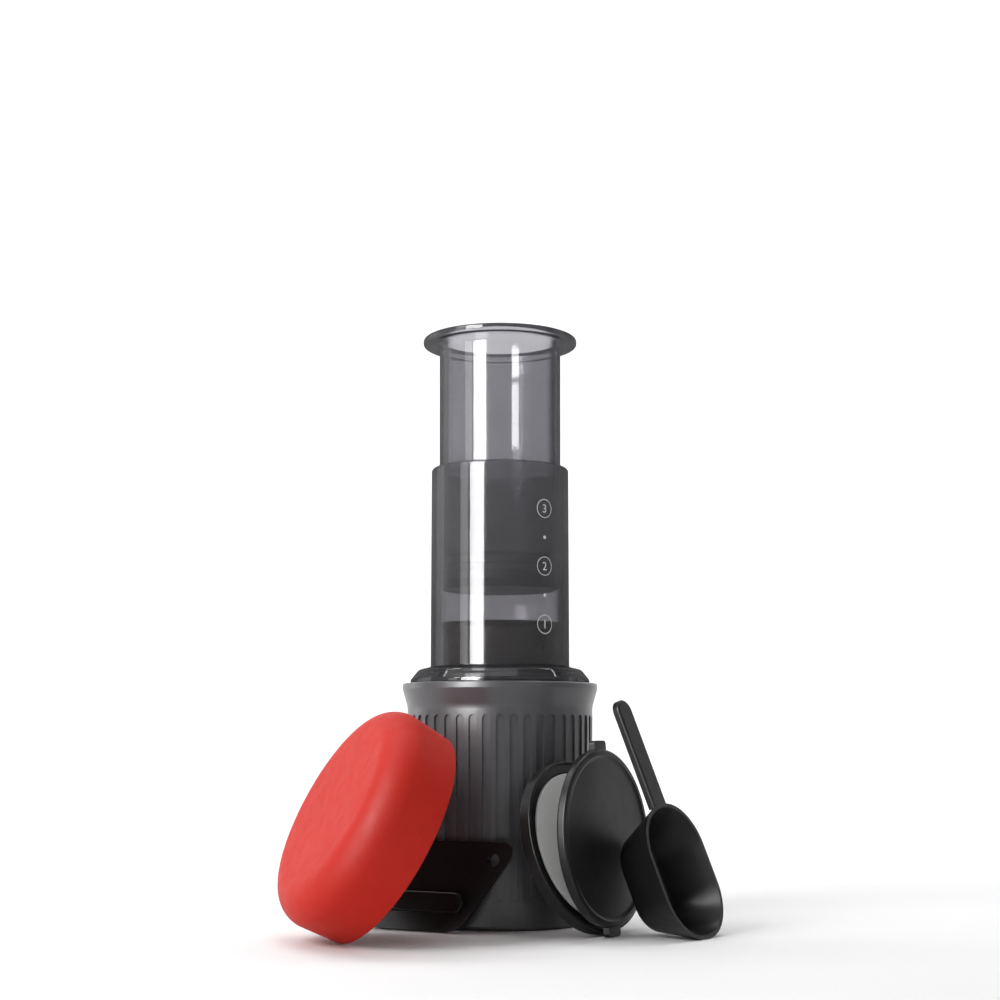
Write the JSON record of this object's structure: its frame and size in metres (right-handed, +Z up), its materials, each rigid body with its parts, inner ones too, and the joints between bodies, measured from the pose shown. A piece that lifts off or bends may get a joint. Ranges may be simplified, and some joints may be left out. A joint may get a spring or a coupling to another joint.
{
  "type": "air press coffee maker set",
  "caption": "Air press coffee maker travel set: clear press with a sliding plunger standing in a fluted mug, with lid, filter holder, scoop and folding stirrer around it.",
  "frame": {"origin": "centre of the mug's foot on the table", "axes": "+Z up along the press, -Y the front of the set as pictured, +X to the right of the picture"},
  "size_m": [0.187, 0.1707, 0.269],
  "materials": {
    "charcoal_plastic": "satin charcoal, moulded flutes",
    "smoke_clear": "clear, smoke tinted, polished",
    "black_plastic": "fine matt moulding",
    "seal_rubber": "smooth dark grey rubber",
    "red_silicone": "soft matt silicone",
    "filter_paper": "white crepe filter paper"
  },
  "bodies": {
    "mug": {"mug": "charcoal_plastic"},
    "chamber": {"brew_chamber": "smoke_clear"},
    "cap": {"filter_cap": "black_plastic", "paper_filter": "filter_paper"},
    "plunger": {"plunger_tube": "smoke_clear", "plunger_seal": "seal_rubber"},
    "lid": {"silicone_lid": "red_silicone"},
    "tray": {"filter_holder_tray": "black_plastic", "spare_papers": "filter_paper"},
    "cover": {"filter_holder_cover": "black_plastic"},
    "scoop": {"scoop": "black_plastic"},
    "stirrer": {"stirrer_paddle": "black_plastic", "stirrer_pin": "black_plastic"},
    "stirrer_arm": {"stirrer_handle": "black_plastic"}
  },
  "joints": [
    {"name": "chamber_lift", "type": "slide", "parent": "mug", "child": "chamber", "axis": [0, 0, 1], "range_m": [0, 0.06]},
    {"name": "plunger_slide", "type": "slide", "parent": "chamber", "child": "plunger", "axis": [0, 0, 1], "range_m": [-0.056, 0.06]},
    {"name": "filter_cap_twist", "type": "hinge", "parent": "chamber", "child": "cap", "pos_m": [0, 0, 0.09], "axis": [0, 0, 1], "range_deg": [0, 30]},
    {"name": "lid_lift", "type": "slide", "parent": "mug", "child": "lid", "axis": [-0.8097, -0.3521, 0.4695], "range_m": [0, 0.08]},
    {"name": "tray_lift", "type": "slide", "parent": "mug", "child": "tray", "axis": [-0.3735, -0.4741, 0.7973], "range_m": [0, 0.05]},
    {"name": "cover_lift", "type": "slide", "parent": "mug", "child": "cover", "axis": [-0.3735, -0.4741, 0.7973], "range_m": [0, 0.06]},
    {"name": "scoop_lift", "type": "slide", "parent": "mug", "child": "scoop", "axis": [0.5997, -0.3498, 0.7197], "range_m": [0, 0.07]},
    {"name": "stirrer_draw", "type": "slide", "parent": "mug", "child": "stirrer", "axis": [-0.8168, 0.4659, 0.3401], "range_m": [0, 0.1]},
    {"name": "stirrer_fold", "type": "hinge", "parent": "stirrer", "child": "stirrer_arm", "pos_m": [-0.05314, -0.03059, 0.01289], "axis": [-0.4879, -0.8554, 0.1736], "range_deg": [0, 180]}
  ]
}
